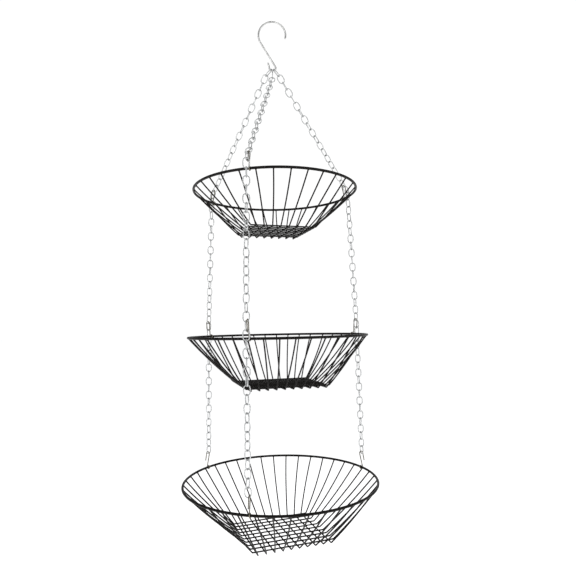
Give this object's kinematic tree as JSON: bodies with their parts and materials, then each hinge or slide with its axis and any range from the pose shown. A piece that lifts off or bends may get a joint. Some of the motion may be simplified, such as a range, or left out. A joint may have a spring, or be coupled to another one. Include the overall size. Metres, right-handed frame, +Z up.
{
  "type": "hanging wire basket",
  "caption": "Tiered hanging produce basket: round wire baskets, wider towards the bottom, hung on chains from an S-shaped ceiling hook.",
  "frame": {"origin": "saddle of the hook: the underside of its upper bend, where it hangs", "axes": "+Z up, along the line of hang; the hook lies in the XZ plane, its upper bend opening towards +X; -Y is the front"},
  "size_m": [0.3086, 0.3089, 0.8121],
  "materials": {
    "black_wire": "semi-gloss black coating over welded steel wire",
    "zinc_chain": "bright zinc plating",
    "clip_wire": "dull yellow-tinted zinc plating",
    "hook_wire": "bright plating"
  },
  "bodies": {
    "hook": {"hook": "hook_wire"},
    "hook_links": {"first_link_right": "zinc_chain", "first_link_rear": "zinc_chain", "first_link_front": "zinc_chain"},
    "top_basket": {"top_rim": "black_wire", "top_wires_under": "black_wire", "top_wires_over": "black_wire", "top_clip_right": "clip_wire", "top_clip_rear": "clip_wire", "top_clip_front": "clip_wire", "upper_chain_right": "zinc_chain", "upper_chain_rear": "zinc_chain", "upper_chain_front": "zinc_chain"},
    "middle_pivot_link_right": {"middle_pivot_link_right": "zinc_chain"},
    "middle_pivot_link_rear": {"middle_pivot_link_rear": "zinc_chain"},
    "middle_pivot_link_front": {"middle_pivot_link_front": "zinc_chain"},
    "middle_chain_right": {"middle_chain_right": "zinc_chain"},
    "middle_chain_rear": {"middle_chain_rear": "zinc_chain"},
    "middle_chain_front": {"middle_chain_front": "zinc_chain"},
    "middle_end_link_right": {"middle_end_link_right": "zinc_chain"},
    "middle_end_link_rear": {"middle_end_link_rear": "zinc_chain"},
    "middle_end_link_front": {"middle_end_link_front": "zinc_chain"},
    "middle_basket": {"middle_rim": "black_wire", "middle_wires_under": "black_wire", "middle_wires_over": "black_wire", "middle_clip_right": "clip_wire", "middle_clip_rear": "clip_wire", "middle_clip_front": "clip_wire", "middle_tail_links_right": "zinc_chain", "middle_tail_links_rear": "zinc_chain", "middle_tail_links_front": "zinc_chain"},
    "lower_pivot_link_right": {"lower_pivot_link_right": "zinc_chain"},
    "lower_pivot_link_rear": {"lower_pivot_link_rear": "zinc_chain"},
    "lower_pivot_link_front": {"lower_pivot_link_front": "zinc_chain"},
    "lower_chain_right": {"lower_chain_right": "zinc_chain"},
    "lower_chain_rear": {"lower_chain_rear": "zinc_chain"},
    "lower_chain_front": {"lower_chain_front": "zinc_chain"},
    "lower_end_link_right": {"lower_end_link_right": "zinc_chain"},
    "lower_end_link_rear": {"lower_end_link_rear": "zinc_chain"},
    "lower_end_link_front": {"lower_end_link_front": "zinc_chain"},
    "bottom_basket": {"bottom_rim": "black_wire", "bottom_wires_under": "black_wire", "bottom_wires_over": "black_wire", "bottom_clip_right": "clip_wire", "bottom_clip_rear": "clip_wire", "bottom_clip_front": "clip_wire"}
  },
  "joints": [
    {"name": "swing_sideways", "type": "hinge", "parent": "hook", "child": "hook_links", "pos_m": [0, 0, -0.0721], "axis": [0, 1, 0], "range_deg": [-12, 12]},
    {"name": "swing_front_to_back", "type": "hinge", "parent": "hook_links", "child": "top_basket", "pos_m": [0, 0, -0.085], "axis": [1, 0, 0], "range_deg": [-12, 12]},
    {"name": "middle_links_front_to_back_right", "type": "hinge", "parent": "top_basket", "child": "middle_pivot_link_right", "pos_m": [0.12217, 0.05697, -0.269], "axis": [1, 0, 0], "range_deg": [-10, 10]},
    {"name": "middle_links_sideways_right", "type": "hinge", "parent": "middle_pivot_link_right", "child": "middle_chain_right", "pos_m": [0.12281, 0.05727, -0.28103], "axis": [0, 1, 0], "range_deg": [-10, 10]},
    {"name": "middle_end_sideways_right", "type": "hinge", "parent": "middle_chain_right", "child": "middle_end_link_right", "pos_m": [0.1324, 0.06174, -0.46153], "axis": [0, 1, 0], "range_deg": [-10, 10]},
    {"name": "middle_basket_levelling", "type": "hinge", "parent": "middle_end_link_right", "child": "middle_basket", "pos_m": [0.13304, 0.06204, -0.47357], "axis": [1, 0, 0], "range_deg": [-10, 10]},
    {"name": "middle_links_front_to_back_rear", "type": "hinge", "parent": "top_basket", "child": "middle_pivot_link_rear", "pos_m": [-0.11175, 0.07538, -0.269], "axis": [1, 0, 0], "range_deg": [-10, 10]},
    {"name": "middle_links_sideways_rear", "type": "hinge", "parent": "middle_pivot_link_rear", "child": "middle_chain_rear", "pos_m": [-0.11234, 0.07577, -0.28103], "axis": [0, 1, 0], "range_deg": [-10, 10]},
    {"name": "middle_end_sideways_rear", "type": "hinge", "parent": "middle_chain_rear", "child": "middle_end_link_rear", "pos_m": [-0.12111, 0.08169, -0.46153], "axis": [0, 1, 0], "range_deg": [-10, 10]},
    {"name": "middle_links_front_to_back_front", "type": "hinge", "parent": "top_basket", "child": "middle_pivot_link_front", "pos_m": [-0.03489, -0.13021, -0.269], "axis": [1, 0, 0], "range_deg": [-10, 10]},
    {"name": "middle_links_sideways_front", "type": "hinge", "parent": "middle_pivot_link_front", "child": "middle_chain_front", "pos_m": [-0.03507, -0.13089, -0.28103], "axis": [0, 1, 0], "range_deg": [-10, 10]},
    {"name": "middle_end_sideways_front", "type": "hinge", "parent": "middle_chain_front", "child": "middle_end_link_front", "pos_m": [-0.03781, -0.14111, -0.46153], "axis": [0, 1, 0], "range_deg": [-10, 10]},
    {"name": "lower_links_front_to_back_right", "type": "hinge", "parent": "middle_basket", "child": "lower_pivot_link_right", "pos_m": [0.13368, 0.06234, -0.4976], "axis": [1, 0, 0], "range_deg": [-10, 10]},
    {"name": "lower_links_sideways_right", "type": "hinge", "parent": "lower_pivot_link_right", "child": "lower_chain_right", "pos_m": [0.13397, 0.06247, -0.50958], "axis": [0, 1, 0], "range_deg": [-10, 10]},
    {"name": "lower_end_sideways_right", "type": "hinge", "parent": "lower_chain_right", "child": "lower_end_link_right", "pos_m": [0.13829, 0.06448, -0.68922], "axis": [0, 1, 0], "range_deg": [-10, 10]},
    {"name": "lower_basket_levelling", "type": "hinge", "parent": "lower_end_link_right", "child": "bottom_basket", "pos_m": [0.13857, 0.06462, -0.7012], "axis": [1, 0, 0], "range_deg": [-10, 10]},
    {"name": "lower_links_front_to_back_rear", "type": "hinge", "parent": "middle_basket", "child": "lower_pivot_link_rear", "pos_m": [-0.12228, 0.08248, -0.4976], "axis": [1, 0, 0], "range_deg": [-10, 10]},
    {"name": "lower_links_sideways_rear", "type": "hinge", "parent": "lower_pivot_link_rear", "child": "lower_chain_rear", "pos_m": [-0.12255, 0.08266, -0.50958], "axis": [0, 1, 0], "range_deg": [-10, 10]},
    {"name": "lower_end_sideways_rear", "type": "hinge", "parent": "lower_chain_rear", "child": "lower_end_link_rear", "pos_m": [-0.1265, 0.08532, -0.68922], "axis": [0, 1, 0], "range_deg": [-10, 10]},
    {"name": "lower_links_front_to_back_front", "type": "hinge", "parent": "middle_basket", "child": "lower_pivot_link_front", "pos_m": [-0.03818, -0.14247, -0.4976], "axis": [1, 0, 0], "range_deg": [-10, 10]},
    {"name": "lower_links_sideways_front", "type": "hinge", "parent": "lower_pivot_link_front", "child": "lower_chain_front", "pos_m": [-0.03826, -0.14278, -0.50958], "axis": [0, 1, 0], "range_deg": [-10, 10]},
    {"name": "lower_end_sideways_front", "type": "hinge", "parent": "lower_chain_front", "child": "lower_end_link_front", "pos_m": [-0.03949, -0.14738, -0.68922], "axis": [0, 1, 0], "range_deg": [-10, 10]}
  ],
  "couplings": [
    {"joint": "middle_basket_levelling", "follows": "middle_links_front_to_back_right", "ratio": -0.91829},
    {"joint": "middle_end_sideways_right", "follows": "middle_links_sideways_right", "ratio": -0.9279},
    {"joint": "middle_links_front_to_back_rear", "follows": "middle_links_front_to_back_right", "ratio": 1},
    {"joint": "middle_links_sideways_rear", "follows": "middle_links_sideways_right", "ratio": 1},
    {"joint": "middle_end_sideways_rear", "follows": "middle_links_sideways_right", "ratio": -0.9279},
    {"joint": "middle_links_front_to_back_front", "follows": "middle_links_front_to_back_right", "ratio": 1},
    {"joint": "middle_links_sideways_front", "follows": "middle_links_sideways_right", "ratio": 1},
    {"joint": "middle_end_sideways_front", "follows": "middle_links_sideways_right", "ratio": -0.9279},
    {"joint": "lower_basket_levelling", "follows": "lower_links_front_to_back_right", "ratio": -0.96468},
    {"joint": "lower_end_sideways_right", "follows": "lower_links_sideways_right", "ratio": -0.96884},
    {"joint": "lower_links_front_to_back_rear", "follows": "lower_links_front_to_back_right", "ratio": 1},
    {"joint": "lower_links_sideways_rear", "follows": "lower_links_sideways_right", "ratio": 1},
    {"joint": "lower_end_sideways_rear", "follows": "lower_links_sideways_right", "ratio": -0.96884},
    {"joint": "lower_links_front_to_back_front", "follows": "lower_links_front_to_back_right", "ratio": 1},
    {"joint": "lower_links_sideways_front", "follows": "lower_links_sideways_right", "ratio": 1},
    {"joint": "lower_end_sideways_front", "follows": "lower_links_sideways_right", "ratio": -0.96884}
  ]
}
